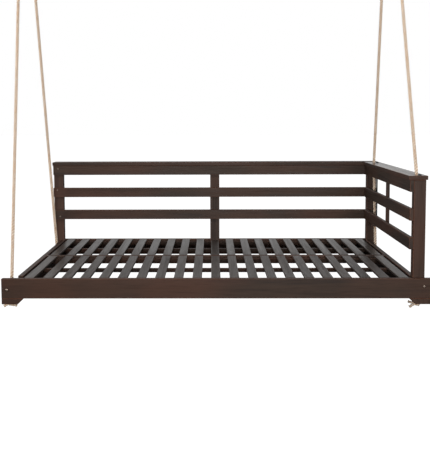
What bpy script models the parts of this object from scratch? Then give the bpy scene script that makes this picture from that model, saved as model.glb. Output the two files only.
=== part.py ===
"""Hanging day-bed porch swing: slatted two-panel seat, low back, one arm, four ropes, two ceiling eyes.

Frame: metres, +Z up, origin on the ceiling midway between the two ceiling eyes.
The front of the seat faces -Y. The bench is laid out in its own datum: X from its middle,
Y back from the front face of its front beam, Z up from the top of the slats.
"""
import math

import bmesh
import bpy
from mathutils import Matrix, Quaternion, Vector

# ---- driving sizes -------------------------------------------------------------------------
BEAM_LENGTH = 2.060          # front beam, end to end
SEAT_DEPTH = 1.090           # front face of the front beam to back face of the rear beam
BOARD = 0.024                # thickness of beams, side rails and mid rails
BEAM_HEIGHT = 0.096
FIT_GAP = 0.0003             # between pieces that touch

CROSS_THICKNESS = 0.028      # flat board under each end of the seat
CROSS_WIDTH = 0.102
CROSS_CHAMFER = 0.024        # 45 degrees, along its inner lower edge

SIDE_RAIL_INSET = 0.064      # beam's end to outer face of the side rails
REAR_MID_RAIL_HEIGHT = 0.030   # flush with the slats
FRONT_MID_RAIL_HEIGHT = 0.026  # under the ends of the front slats
MID_SEAM = 0.003             # front slats to rear mid rail

SLAT_COUNT = 21              # in each panel
SLAT_WIDTH = 0.0455
SLAT_END_SPACE = 0.01625     # last slat to side rail
SLAT_THICKNESS = 0.012
BATTEN_WIDTH = 0.022         # ledgers and centre battens under the slats
BATTEN_HEIGHT = 0.019
BATTEN_LET_IN = 0.001        # centre batten let into the slats

POST_INSET = 0.029           # beam's end to outer face of the corner posts and the rear beam's end
CORNER_BLOCK_INSET = 0.012   # the same to the block behind the front beam's left end
CORNER_BLOCK_DROP = 0.012    # its top below the slats' top
POST_WIDTH = 0.057
POST_DEPTH = 0.040
RAIL_HEIGHT = 0.058          # rails of the back and the arm
RAIL_THICKNESS = 0.019
RAIL_SPACE = 0.080           # clear height between two rails
CAP_TOP = 0.490              # top of the cap above the slats
CAP_THICKNESS = 0.020
CAP_WIDTH = 0.089
CAP_OVERHANG = 0.006
STILE_WIDTH = 0.018
STILE_SETBACK = 0.007        # arm's middle stile, behind the middle of the seat

ROPE_DIAMETER = 0.018
ROPE_HOLE_CLEARANCE = 0.003  # all round the rope
ROPE_STAND_OFF = 0.0015      # rope to the back of the front post
BEND_SPAN = 0.05             # shorter stretches of a rope are its bends
LEFT_REAR_ROPE_SPACE = 0.090   # back of the rear beam to the rear ropes
RIGHT_REAR_ROPE_SPACE = 0.158
LEFT_FRONT_ROPE_INSET = 0.027  # rope holes in the cross members, from the beam's end
LEFT_REAR_ROPE_INSET = 0.049
RIGHT_ROPE_INSET = 0.049
CAP_FRONT_ROPE_INSET = 0.0615  # rope holes in the arm cap, from the beam's end
CAP_REAR_ROPE_INSET = 0.067

MEET_SETBACK = 0.0987        # where each pair of ropes would meet, behind the seat's middle
MEET_HEIGHT = 2.270          # above the slats
LEFT_EYE_OUTSET = 0.0235     # outside the beam's left end
RIGHT_EYE_INSET = 0.0735     # inside its right end

RING_RADIUS = 0.034          # centre line of the ring's wire
WIRE_RADIUS = 0.005          # ring and ceiling eye
EYE_RADIUS = 0.017
EYE_SHANK = 0.009
PLATE_LENGTH = 0.090
PLATE_WIDTH = 0.050
PLATE_THICKNESS = 0.006
PLATE_HOLE_RADIUS = 0.0035
PLATE_HOLE_SPACING = 0.064
LOOP_ANGLE = math.radians(42.0)      # of each rope loop, from the bottom of its ring
LOOP_TUBE = 0.008
LOOP_CLEARANCE = 0.0006
RING_KNOT_OFFSET = 0.036     # loop centre to knot centre
RING_KNOT_HALF = 0.022
RING_KNOT_RADIUS = 0.016
FOOT_KNOT_RADIUS = 0.020
FOOT_KNOT_HALF = 0.014
TAIL_LENGTH = 0.036

BOLT_RADIUS = 0.0045
BOLT_HEAD_RADIUS = 0.008
BOLT_HEAD_HEIGHT = 0.006
ARM_FRONT_BOLT_INSET = 0.055 # from the beam's end
ARM_REAR_BOLT_INSET = 0.053
ARM_FRONT_BOLT_LENGTH = 0.090
ARM_REAR_BOLT_SPACE = 0.027  # in front of the rear rope
CLEAT_HEIGHT = 0.045
CLEAT_LENGTH = 0.030
CLEAT_LAP = 0.0143           # height of the cleat's hold on the lower arm rail
LEFT_BEAM_BOLT = (0.026, 0.054)   # from the beam's end, and below its top
RIGHT_BEAM_BOLT = (0.0365, 0.038)
BEAM_BOLT_LENGTH = 0.045
BEAM_BOLT_HEAD_HEIGHT = 0.003

# ---- sizes that follow ---------------------------------------------------------------------
ROPE_RADIUS = ROPE_DIAMETER / 2
HALF_LENGTH = BEAM_LENGTH / 2
REAR_BEAM_FRONT = SEAT_DEPTH - BOARD
SIDE_RAIL_OUTER = HALF_LENGTH - SIDE_RAIL_INSET
SIDE_RAIL_INNER = SIDE_RAIL_OUTER - BOARD
SLAT_ROW = SIDE_RAIL_INNER - SLAT_END_SPACE
SLAT_PITCH = (2 * SLAT_ROW - SLAT_WIDTH) / (SLAT_COUNT - 1)
MID_FRONT = (SEAT_DEPTH - MID_SEAM) / 2 - BOARD
MID_BACK = (SEAT_DEPTH + MID_SEAM) / 2 + BOARD
FRONT_SLAT_END = MID_BACK - BOARD - MID_SEAM
LEDGER_TOP = -SLAT_THICKNESS - FIT_GAP
POST_OUTER = HALF_LENGTH - POST_INSET
POST_INNER = POST_OUTER - POST_WIDTH
FRONT_POST_BACK = BOARD + FIT_GAP + POST_DEPTH
REAR_POST_FRONT = REAR_BEAM_FRONT - FIT_GAP - POST_DEPTH
RAIL_FRONT = REAR_POST_FRONT - FIT_GAP - RAIL_THICKNESS
ARM_INNER = POST_INNER - FIT_GAP - RAIL_THICKNESS
ARM_OUTER = ARM_INNER + RAIL_THICKNESS
CAP_BOTTOM = CAP_TOP - CAP_THICKNESS
POST_TOP = CAP_BOTTOM - FIT_GAP
RAIL_TOPS = [POST_TOP - step * (RAIL_HEIGHT + RAIL_SPACE) for step in range(3)]
BACK_CAP_FRONT = RAIL_FRONT - CAP_OVERHANG
ARM_CAP_INNER = ARM_INNER - CAP_OVERHANG
STILE_Y = SEAT_DEPTH / 2 + STILE_SETBACK
FRONT_ROPE_Y = FRONT_POST_BACK + ROPE_STAND_OFF + ROPE_RADIUS
LEFT_REAR_ROPE_Y = SEAT_DEPTH - LEFT_REAR_ROPE_SPACE
RIGHT_REAR_ROPE_Y = SEAT_DEPTH - RIGHT_REAR_ROPE_SPACE
RIGHT_ROPE_X = HALF_LENGTH - RIGHT_ROPE_INSET
ARM_FRONT_BOLT_X = HALF_LENGTH - ARM_FRONT_BOLT_INSET
ARM_REAR_BOLT_X = HALF_LENGTH - ARM_REAR_BOLT_INSET
ARM_REAR_BOLT_Y = RIGHT_REAR_ROPE_Y - ARM_REAR_BOLT_SPACE
CLEAT_TOP = RAIL_TOPS[2] - RAIL_HEIGHT + CLEAT_LAP
CROSS_TOP = -BEAM_HEIGHT - FIT_GAP
CROSS_BOTTOM = CROSS_TOP - CROSS_THICKNESS
HOLE_RADIUS = ROPE_RADIUS + ROPE_HOLE_CLEARANCE

MEET_Y = SEAT_DEPTH / 2 + MEET_SETBACK
LEFT_EYE_X = HALF_LENGTH + LEFT_EYE_OUTSET
RIGHT_EYE_X = HALF_LENGTH - RIGHT_EYE_INSET
EYE_Z = -(PLATE_THICKNESS + FIT_GAP + EYE_SHANK + EYE_RADIUS)
PIVOT_Z = EYE_Z - EYE_RADIUS
RING_Z = PIVOT_Z - (RING_RADIUS - 2 * WIRE_RADIUS - FIT_GAP)
LOOP_TURN = WIRE_RADIUS + LOOP_CLEARANCE + LOOP_TUBE
# The two ropes of a pair leave their ring so that they point at one spot above it.
LOOP_RISE = RING_RADIUS * math.sin(LOOP_ANGLE) / ((MEET_Y - FRONT_ROPE_Y) / MEET_HEIGHT)
MEET_Z = RING_Z - RING_RADIUS * math.cos(LOOP_ANGLE) + LOOP_RISE
SLAT_TOP_Z = MEET_Z - MEET_HEIGHT
BENCH_X = (LEFT_EYE_X - RIGHT_EYE_X) / 2
EYE_SPAN = (LEFT_EYE_X + RIGHT_EYE_X) / 2
BENCH = Vector((BENCH_X, -MEET_Y, SLAT_TOP_Z))
PIVOT = Vector((0.0, 0.0, PIVOT_Z))

WOOD = (0.045, 0.030, 0.024)
SLAT_WOOD = (0.060, 0.050, 0.045)
ROPE_FIBRE = (0.62, 0.50, 0.36)
BLACK_STEEL = (0.02, 0.02, 0.022)
ZINC = (0.45, 0.46, 0.48)


# ---- scene helpers -------------------------------------------------------------------------
def clear_scene():
    for old in list(bpy.data.objects):
        bpy.data.objects.remove(old, do_unlink=True)


def new_collection(name):
    made = bpy.data.collections.new(name)
    bpy.context.scene.collection.children.link(made)
    return made


def finish_material(obj, colour, roughness, metallic=0.0):
    """Gives one object its own Principled material."""
    made = bpy.data.materials.new(obj.name + "_finish")
    made.use_nodes = True
    shader = made.node_tree.nodes["Principled BSDF"]
    shader.inputs["Base Color"].default_value = (*colour, 1.0)
    shader.inputs["Roughness"].default_value = roughness
    shader.inputs["Metallic"].default_value = metallic
    obj.data.materials.clear()
    obj.data.materials.append(made)


def add_empty(name, location, parent=None):
    empty = bpy.data.objects.new(name, None)
    OBJECT.objects.link(empty)
    empty.location = location
    empty.parent = parent
    return empty


def add_mesh(name, bm, collection=None):
    mesh = bpy.data.meshes.new(name)
    bm.to_mesh(mesh)
    bm.free()
    obj = bpy.data.objects.new(name, mesh)
    (collection or OBJECT).objects.link(obj)
    return obj


def block_mesh(low, high):
    """A closed box between two corners."""
    low, high = Vector(low), Vector(high)
    bm = bmesh.new()
    bmesh.ops.create_cube(bm, size=1.0)
    bmesh.ops.scale(bm, vec=high - low, verts=bm.verts)
    return bm


def add_block(name, low, high, parent, bevel=0.0, collection=None):
    """A box piece whose origin is its own centre."""
    obj = add_mesh(name, block_mesh(low, high), collection)
    obj.location = (Vector(low) + Vector(high)) / 2
    obj.parent = parent
    if bevel:
        round_over = obj.modifiers.new("round_over", "BEVEL")
        round_over.width = bevel
        round_over.segments = 1
    return obj


def add_cylinder(name, radius, depth, centre, parent, collection=None, sides=24):
    bm = bmesh.new()
    bmesh.ops.create_cone(bm, cap_ends=True, segments=sides, radius1=radius, radius2=radius, depth=depth)
    obj = add_mesh(name, bm, collection)
    obj.location = centre
    obj.parent = parent
    return obj


def apply_boolean(obj, other, operation):
    """Joins or cuts a mesh with another object, which is hidden from the build."""
    cut = obj.modifiers.new(operation.lower(), "BOOLEAN")
    cut.operation = operation
    cut.object = other
    cut.solver = "EXACT"
    other.hide_render = True
    other.display_type = "WIRE"
    return cut


def torus_mesh(radius, tube, turns, sides):
    """A ring round local Z, made by spinning a circle."""
    bm = bmesh.new()
    circle = bmesh.ops.create_circle(bm, segments=sides, radius=tube, cap_ends=False)["verts"]
    bmesh.ops.rotate(bm, verts=circle, cent=(0, 0, 0), matrix=Matrix.Rotation(math.pi / 2, 3, "X"))
    bmesh.ops.translate(bm, verts=circle, vec=(radius, 0, 0))
    bmesh.ops.spin(bm, geom=bm.verts[:] + bm.edges[:], cent=(0, 0, 0), axis=(0, 0, 1),
                   angle=2 * math.pi, steps=turns, use_merge=True)
    bmesh.ops.remove_doubles(bm, verts=bm.verts, dist=1e-6)
    bmesh.ops.recalc_face_normals(bm, faces=bm.faces)
    return bm


def smooth(obj):
    obj.data.shade_smooth()
    obj.data.set_sharp_from_angle(angle=math.radians(40))


def smooth_route(points):
    """A smooth curve through the points, read twice as often on its short, bent spans."""
    chords = [b - a for a, b in zip(points, points[1:])]
    headings = [chords[0].normalized()]
    for a, b in zip(chords, chords[1:]):
        headings.append((a.normalized() * b.length + b.normalized() * a.length).normalized())
    headings.append(chords[-1].normalized())
    route = []
    for i, chord in enumerate(chords):
        parts = 2 if chord.length < BEND_SPAN else 1
        for step in range(parts):
            t = step / parts
            start_pull = headings[i] * chord.length
            end_pull = headings[i + 1] * chord.length
            route.append(points[i] * (2 * t ** 3 - 3 * t ** 2 + 1) + start_pull * (t ** 3 - 2 * t ** 2 + t)
                         + points[i + 1] * (3 * t ** 2 - 2 * t ** 3) + end_pull * (t ** 3 - t ** 2))
    route.append(points[-1].copy())
    return route


def add_tube(name, points, radius, parent, resolution=2):
    """A round bar or rope along the points, as a capped curve."""
    curve = bpy.data.curves.new(name, "CURVE")
    curve.dimensions = "3D"
    curve.bevel_depth = radius
    curve.bevel_resolution = resolution
    curve.use_fill_caps = True
    spline = curve.splines.new("POLY")
    spline.points.add(len(points) - 1)
    for slot, place in zip(spline.points, points):
        slot.co = (*place, 1.0)
    obj = bpy.data.objects.new(name, curve)
    OBJECT.objects.link(obj)
    obj.parent = parent
    return obj


# ---- seat ----------------------------------------------------------------------------------
def beam_bolt_place(side):
    """Middle of a beam bolt's head, on the front face of the front beam."""
    inset, drop = LEFT_BEAM_BOLT if side < 0 else RIGHT_BEAM_BOLT
    return Vector((side * (HALF_LENGTH - inset), 0.0, -drop))


def drill_for_beam_bolt(piece, side, bench):
    drill = add_cylinder("beam_bolt_drill", BOLT_RADIUS + FIT_GAP, 2 * (BEAM_BOLT_LENGTH + FIT_GAP),
                         beam_bolt_place(side), bench, CUTTERS)
    drill.rotation_euler = (math.pi / 2, 0, 0)
    apply_boolean(piece, drill, "DIFFERENCE")


def make_beams(bench):
    """The front beam covers the cross members' ends; the rear beam stops flush with its posts."""
    for name, front, half in (("front_beam", 0.0, HALF_LENGTH), ("rear_beam", REAR_BEAM_FRONT, POST_OUTER)):
        beam = add_block(name, (-half, front, -BEAM_HEIGHT), (half, front + BOARD, 0.0), bench, bevel=0.003)
        finish_material(beam, WOOD, 0.42)
        if name == "front_beam":
            for side in (-1, 1):
                drill_for_beam_bolt(beam, side, bench)


def make_side_rails(bench):
    """Each side rail runs from the front corner post to the rear beam's corner post."""
    for name, side in (("left_side_rail", -1), ("right_side_rail", 1)):
        inner, outer = sorted((side * SIDE_RAIL_INNER, side * SIDE_RAIL_OUTER))
        rail = add_block(name, (inner, FRONT_POST_BACK + FIT_GAP, -BEAM_HEIGHT),
                         (outer, REAR_POST_FRONT - FIT_GAP, 0.0), bench, bevel=0.002)
        finish_material(rail, WOOD, 0.42)


def make_mid_rails(bench):
    """The front mid rail carries the ends of the front slats; the rear one stands up beside them."""
    half = SIDE_RAIL_INNER - FIT_GAP
    for name, front, top, height in (
            ("front_mid_rail", MID_FRONT, LEDGER_TOP, FRONT_MID_RAIL_HEIGHT),
            ("rear_mid_rail", MID_BACK - BOARD, 0.0, REAR_MID_RAIL_HEIGHT)):
        rail = add_block(name, (-half, front, top - height), (half, front + BOARD, top),
                         bench, bevel=0.0015)
        finish_material(rail, WOOD, 0.42)


def make_cross_members(bench):
    """A flat board under each end of the seat, chamfered along its inner lower edge."""
    inner = HALF_LENGTH - CROSS_WIDTH
    for name, side, holes in (
            ("left_cross_member", -1, ((LEFT_FRONT_ROPE_INSET, FRONT_ROPE_Y),
                                       (LEFT_REAR_ROPE_INSET, LEFT_REAR_ROPE_Y))),
            ("right_cross_member", 1, ((RIGHT_ROPE_INSET, FRONT_ROPE_Y),
                                       (RIGHT_ROPE_INSET, RIGHT_REAR_ROPE_Y)))):
        x_low, x_high = sorted((side * inner, side * HALF_LENGTH))
        board = add_block(name, (x_low, 0.0, CROSS_BOTTOM), (x_high, SEAT_DEPTH, CROSS_TOP), bench)
        corner = add_block("chamfer_cutter", (-CROSS_CHAMFER, -SEAT_DEPTH, -CROSS_CHAMFER),
                           (CROSS_CHAMFER, SEAT_DEPTH, CROSS_CHAMFER), bench, collection=CUTTERS)
        corner.location = (side * inner, SEAT_DEPTH / 2, CROSS_BOTTOM)
        corner.rotation_euler = (0, math.pi / 4, 0)
        corner.scale = (math.sqrt(0.5), 1, math.sqrt(0.5))
        apply_boolean(board, corner, "DIFFERENCE")
        for inset, y in holes:
            drill = add_cylinder("rope_drill", HOLE_RADIUS, 3 * CROSS_THICKNESS,
                                 (side * (HALF_LENGTH - inset), y, CROSS_BOTTOM + CROSS_THICKNESS / 2),
                                 bench, CUTTERS)
            apply_boolean(board, drill, "DIFFERENCE")
        finish_material(board, WOOD, 0.45)


def make_ledgers(bench):
    """Sticks that carry the slats' ends; the rear one is in two lengths, beside the middle post."""
    half = SIDE_RAIL_INNER - FIT_GAP
    post_side = POST_WIDTH / 2 + FIT_GAP
    rear = REAR_BEAM_FRONT - FIT_GAP - BATTEN_WIDTH
    runs = {
        "front_beam_ledger": (-half, half, BOARD + FIT_GAP),
        "rear_mid_ledger": (-half, half, MID_BACK + FIT_GAP),
        "rear_beam_ledger_left": (-half, -post_side, rear),
        "rear_beam_ledger_right": (post_side, half, rear),
    }
    for name, (left, right, front) in runs.items():
        stick = add_block(name, (left, front, LEDGER_TOP - BATTEN_HEIGHT),
                          (right, front + BATTEN_WIDTH, LEDGER_TOP), bench)
        finish_material(stick, WOOD, 0.5)


def make_slat_panel(name, front, back, bench, short_middle=False):
    """The slats of one half of the seat, joined by the batten under their middles."""
    slats = bmesh.new()
    for step in range(SLAT_COUNT):
        x = (step - (SLAT_COUNT - 1) / 2) * SLAT_PITCH
        end = back
        if short_middle and abs(x) < POST_WIDTH / 2 + SLAT_WIDTH / 2:
            end = REAR_POST_FRONT - FIT_GAP
        made = bmesh.ops.create_cube(slats, size=1.0)["verts"]
        bmesh.ops.scale(slats, verts=made, vec=(SLAT_WIDTH, end - front, SLAT_THICKNESS))
        bmesh.ops.translate(slats, verts=made, vec=(x, (front + end) / 2, -SLAT_THICKNESS / 2))
    panel = add_mesh(name, slats)
    panel.parent = bench
    middle = (front + back) / 2
    batten_top = -SLAT_THICKNESS + BATTEN_LET_IN
    batten = add_block(name + "_batten",
                       (-SLAT_ROW, middle - BATTEN_WIDTH / 2, -SLAT_THICKNESS - BATTEN_HEIGHT),
                       (SLAT_ROW, middle + BATTEN_WIDTH / 2, batten_top), bench, collection=CUTTERS)
    apply_boolean(panel, batten, "UNION")
    finish_material(panel, SLAT_WOOD, 0.38)


def make_slats(bench):
    make_slat_panel("front_slat_panel", BOARD + FIT_GAP, FRONT_SLAT_END, bench)
    make_slat_panel("rear_slat_panel", MID_BACK + FIT_GAP, REAR_BEAM_FRONT - FIT_GAP, bench,
                    short_middle=True)


# ---- back and arm --------------------------------------------------------------------------
def make_posts(bench):
    foot = -BEAM_HEIGHT
    half = POST_WIDTH / 2
    front = BOARD + FIT_GAP
    places = {
        "rear_left_post": (-POST_OUTER, -POST_INNER, REAR_POST_FRONT, POST_TOP),
        "rear_middle_post": (-half, half, REAR_POST_FRONT, POST_TOP),
        "rear_right_post": (POST_INNER, POST_OUTER, REAR_POST_FRONT, POST_TOP),
        "arm_front_post": (POST_INNER, POST_OUTER, front, POST_TOP),
        "front_left_corner_block": (CORNER_BLOCK_INSET - HALF_LENGTH, -POST_INNER, front, -CORNER_BLOCK_DROP),
    }
    for name, (left, right, y, top) in places.items():
        post = add_block(name, (left, y, foot), (right, y + POST_DEPTH, top), bench, bevel=0.002)
        finish_material(post, WOOD, 0.42)
        if y == front:
            drill_for_beam_bolt(post, math.copysign(1, left), bench)
        if name == "arm_front_post":
            depth = ARM_FRONT_BOLT_LENGTH - CAP_THICKNESS
            drill = add_cylinder("arm_bolt_drill", BOLT_RADIUS + FIT_GAP, 2 * depth,
                                 (ARM_FRONT_BOLT_X, y + POST_DEPTH / 2, top), bench, CUTTERS)
            apply_boolean(post, drill, "DIFFERENCE")


def make_back_rails(bench):
    for step, top in enumerate(RAIL_TOPS):
        name = ("back_top_rail", "back_middle_rail", "back_lower_rail")[step]
        rail = add_block(name, (-POST_OUTER, RAIL_FRONT, top - RAIL_HEIGHT),
                         (POST_OUTER, RAIL_FRONT + RAIL_THICKNESS, top), bench, bevel=0.002)
        finish_material(rail, WOOD, 0.45)


def make_arm(bench):
    for step, top in enumerate(RAIL_TOPS):
        name = ("arm_top_rail", "arm_middle_rail", "arm_lower_rail")[step]
        rail = add_block(name, (ARM_INNER, BOARD + FIT_GAP, top - RAIL_HEIGHT),
                         (ARM_OUTER, RAIL_FRONT - FIT_GAP, top), bench, bevel=0.002)
        finish_material(rail, WOOD, 0.45)
    stile = add_block("arm_middle_stile",
                      (ARM_OUTER + FIT_GAP, STILE_Y - STILE_WIDTH / 2, RAIL_TOPS[2] - RAIL_HEIGHT),
                      (ARM_OUTER + FIT_GAP + STILE_WIDTH, STILE_Y + STILE_WIDTH / 2, POST_TOP),
                      bench, bevel=0.0015)
    finish_material(stile, WOOD, 0.45)


def make_caps(bench):
    outer = ARM_CAP_INNER + CAP_WIDTH
    back_cap = add_block("back_cap", (-POST_OUTER - CAP_OVERHANG / 2, BACK_CAP_FRONT, CAP_BOTTOM),
                         (outer, BACK_CAP_FRONT + CAP_WIDTH, CAP_TOP), bench, bevel=0.002)
    finish_material(back_cap, WOOD, 0.35)
    arm_cap = add_block("arm_cap", (ARM_CAP_INNER, BOARD - CAP_OVERHANG, CAP_BOTTOM),
                        (outer, BACK_CAP_FRONT - FIT_GAP, CAP_TOP), bench, bevel=0.002)
    finish_material(arm_cap, WOOD, 0.35)
    bores = ((HALF_LENGTH - CAP_FRONT_ROPE_INSET, FRONT_ROPE_Y, HOLE_RADIUS),
             (HALF_LENGTH - CAP_REAR_ROPE_INSET, RIGHT_REAR_ROPE_Y, HOLE_RADIUS),
             (ARM_FRONT_BOLT_X, BOARD + FIT_GAP + POST_DEPTH / 2, BOLT_RADIUS + FIT_GAP),
             (ARM_REAR_BOLT_X, ARM_REAR_BOLT_Y, BOLT_RADIUS + FIT_GAP))
    for x, y, radius in bores:
        drill = add_cylinder("cap_drill", radius, 3 * CAP_THICKNESS,
                             (x, y, CAP_BOTTOM + CAP_THICKNESS / 2), bench, CUTTERS)
        apply_boolean(arm_cap, drill, "DIFFERENCE")


# ---- bolts ---------------------------------------------------------------------------------
def make_bolt(name, length, head_height, head_radius, parent):
    """A domed bolt turned round local Z: its head stands on z = 0, its shank runs down."""
    profile = [(0.0, head_height), (head_radius * 0.55, head_height * 0.9),
               (head_radius * 0.9, head_height * 0.55), (head_radius, FIT_GAP),
               (BOLT_RADIUS, FIT_GAP), (BOLT_RADIUS, -length), (0.0, -length)]
    bm = bmesh.new()
    verts = [bm.verts.new((radius, 0, z)) for radius, z in profile]
    for a, b in zip(verts, verts[1:]):
        bm.edges.new((a, b))
    bolt = add_mesh(name, bm)
    bolt.parent = parent
    turn = bolt.modifiers.new("turn", "SCREW")
    turn.steps = 16
    turn.render_steps = 16
    turn.use_merge_vertices = True
    turn.merge_threshold = 0.00001
    return bolt


def make_bolts(bench):
    for name, side in (("left_beam_bolt", -1), ("right_beam_bolt", 1)):
        bolt = make_bolt(name, BEAM_BOLT_LENGTH, BEAM_BOLT_HEAD_HEIGHT, BOLT_RADIUS * 1.5, bench)
        bolt.location = beam_bolt_place(side)
        bolt.rotation_euler = (math.pi / 2, 0, 0)
        finish_material(bolt, ZINC, 0.35, 1.0)
    front_length = ARM_FRONT_BOLT_LENGTH - FIT_GAP
    front = make_bolt("arm_front_bolt", front_length, BOLT_HEAD_HEIGHT, BOLT_HEAD_RADIUS, bench)
    front.location = (ARM_FRONT_BOLT_X, BOARD + FIT_GAP + POST_DEPTH / 2, CAP_TOP)
    finish_material(front, BLACK_STEEL, 0.4, 0.8)
    rear_length = CAP_TOP - CLEAT_TOP + CLEAT_HEIGHT / 2
    rear = make_bolt("arm_rear_bolt", rear_length, BOLT_HEAD_HEIGHT, BOLT_HEAD_RADIUS, bench)
    rear.location = (ARM_REAR_BOLT_X, ARM_REAR_BOLT_Y, CAP_TOP)
    finish_material(rear, BLACK_STEEL, 0.4, 0.8)
    cleat = add_block("arm_bolt_cleat",
                      (ARM_OUTER + FIT_GAP, ARM_REAR_BOLT_Y - CLEAT_LENGTH / 2, CLEAT_TOP - CLEAT_HEIGHT),
                      (POST_OUTER, ARM_REAR_BOLT_Y + CLEAT_LENGTH / 2, CLEAT_TOP), bench)
    drill = add_cylinder("cleat_drill", BOLT_RADIUS + FIT_GAP, CLEAT_HEIGHT + 2 * FIT_GAP,
                         (ARM_REAR_BOLT_X, ARM_REAR_BOLT_Y, CLEAT_TOP), bench, CUTTERS)
    apply_boolean(cleat, drill, "DIFFERENCE")
    finish_material(cleat, WOOD, 0.5)


# ---- hanging gear --------------------------------------------------------------------------
def make_ceiling_fitting(side_name, x):
    plate = add_block(side_name + "_ceiling_plate", (x - PLATE_LENGTH / 2, -PLATE_WIDTH / 2, -PLATE_THICKNESS),
                      (x + PLATE_LENGTH / 2, PLATE_WIDTH / 2, 0.0), None)
    for side in (-1, 1):
        drill = add_cylinder("plate_drill", PLATE_HOLE_RADIUS, 3 * PLATE_THICKNESS,
                             (x + side * PLATE_HOLE_SPACING / 2, 0, -PLATE_THICKNESS / 2), None, CUTTERS)
        apply_boolean(plate, drill, "DIFFERENCE")
    finish_material(plate, BLACK_STEEL, 0.45, 0.8)
    eye = add_mesh(side_name + "_ceiling_eye", torus_mesh(EYE_RADIUS, WIRE_RADIUS, 32, 12))
    eye.rotation_euler = (math.pi / 2, 0, 0)
    eye.location = (x, 0, EYE_Z)
    shank = add_cylinder(side_name + "_eye_shank", WIRE_RADIUS * 1.2, EYE_SHANK,
                         (x, 0, EYE_Z + EYE_RADIUS + EYE_SHANK / 2), None, CUTTERS)
    apply_boolean(eye, shank, "UNION")
    finish_material(eye, ZINC, 0.35, 1.0)


def make_ring(side_name, x, swing):
    ring = add_mesh(side_name + "_ring", torus_mesh(RING_RADIUS, WIRE_RADIUS, 40, 12))
    ring.rotation_euler = (0, math.pi / 2, 0)
    ring.location = (x, 0, RING_Z - PIVOT_Z)
    ring.parent = swing
    smooth(ring)
    finish_material(ring, ZINC, 0.35, 1.0)


def loop_centre(x, front):
    """Centre of a rope's loop round its ring's wire; front is -1 or 1."""
    return Vector((x, front * RING_RADIUS * math.sin(LOOP_ANGLE), RING_Z - RING_RADIUS * math.cos(LOOP_ANGLE)))


def rope_holes(side):
    """Places that the front and rear ropes of one side go through, from the top down."""
    if side == "left":
        front = [Vector((LEFT_FRONT_ROPE_INSET - HALF_LENGTH, FRONT_ROPE_Y, CROSS_TOP))]
        rear = [Vector((LEFT_REAR_ROPE_INSET - HALF_LENGTH, LEFT_REAR_ROPE_Y, CROSS_TOP))]
    else:
        front = [Vector((HALF_LENGTH - CAP_FRONT_ROPE_INSET, FRONT_ROPE_Y, CAP_TOP)),
                 Vector((RIGHT_ROPE_X, FRONT_ROPE_Y, CROSS_TOP))]
        rear = [Vector((HALF_LENGTH - CAP_REAR_ROPE_INSET, RIGHT_REAR_ROPE_Y, CAP_TOP)),
                Vector((RIGHT_ROPE_X, RIGHT_REAR_ROPE_Y, CROSS_TOP))]
    return {-1: [BENCH + p for p in front], 1: [BENCH + p for p in rear]}


def rope_route(start, holes):
    """A taut rope: straight to each hole, upright through it, down to its knot."""
    first = holes[0]
    away = (start - first).normalized()
    route = [start, start.lerp(first, 0.33), start.lerp(first, 0.66)]
    route += [first + away * 0.06, first + away * 0.025, first + Vector((0, 0, -0.006))]
    if len(holes) == 2:
        low = holes[1]
        onward = (low - first).normalized()
        route += [first + onward * 0.035, first.lerp(low, 0.5), low - onward * 0.035]
    route.append(holes[-1] + Vector((0, 0, -CROSS_THICKNESS)))
    return route


def make_ring_loop(name, centre, along_rope, front, swing):
    """A rope's turn round the ring, with the knot that closes it."""
    loop = add_mesh(name, torus_mesh(LOOP_TURN, LOOP_TUBE, 20, 10))
    wire = Vector((0, math.cos(LOOP_ANGLE), front * math.sin(LOOP_ANGLE)))
    loop.rotation_mode = "QUATERNION"
    loop.rotation_quaternion = wire.to_track_quat("Z", "X")
    loop.location = centre - PIVOT
    loop.parent = swing
    knot_bm = bmesh.new()
    bmesh.ops.create_uvsphere(knot_bm, u_segments=14, v_segments=9, radius=1.0)
    knot = add_mesh(name + "_knot", knot_bm, CUTTERS)
    knot.scale = (RING_KNOT_RADIUS, RING_KNOT_RADIUS, RING_KNOT_HALF)
    knot.rotation_mode = "QUATERNION"
    knot.rotation_quaternion = along_rope.to_track_quat("Z", "X")
    knot.location = centre + along_rope * RING_KNOT_OFFSET - PIVOT
    knot.parent = swing
    apply_boolean(loop, knot, "UNION")
    finish_material(loop, ROPE_FIBRE, 0.9)


def make_foot_knot(name, top, tail_side, front, swing):
    """The stopper knot under a cross member, with its short tail."""
    knot_bm = bmesh.new()
    bmesh.ops.create_uvsphere(knot_bm, u_segments=16, v_segments=10, radius=1.0)
    bmesh.ops.scale(knot_bm, vec=(FOOT_KNOT_RADIUS, FOOT_KNOT_RADIUS, FOOT_KNOT_HALF), verts=knot_bm.verts)
    knot = add_mesh(name, knot_bm)
    knot.location = top + Vector((0, 0, -FOOT_KNOT_HALF - FIT_GAP)) - PIVOT
    knot.parent = swing
    tail = add_cylinder(name + "_tail", ROPE_RADIUS * 0.95, TAIL_LENGTH, (0, 0, 0), swing, CUTTERS, sides=12)
    lean = Vector((0.85 * tail_side, 0.1 * front, -0.3)).normalized()
    tail.rotation_mode = "QUATERNION"
    tail.rotation_quaternion = lean.to_track_quat("Z", "X")
    tail.location = knot.location + lean * (TAIL_LENGTH / 2 + 0.004)
    apply_boolean(knot, tail, "UNION")
    finish_material(knot, ROPE_FIBRE, 0.9)


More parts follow.
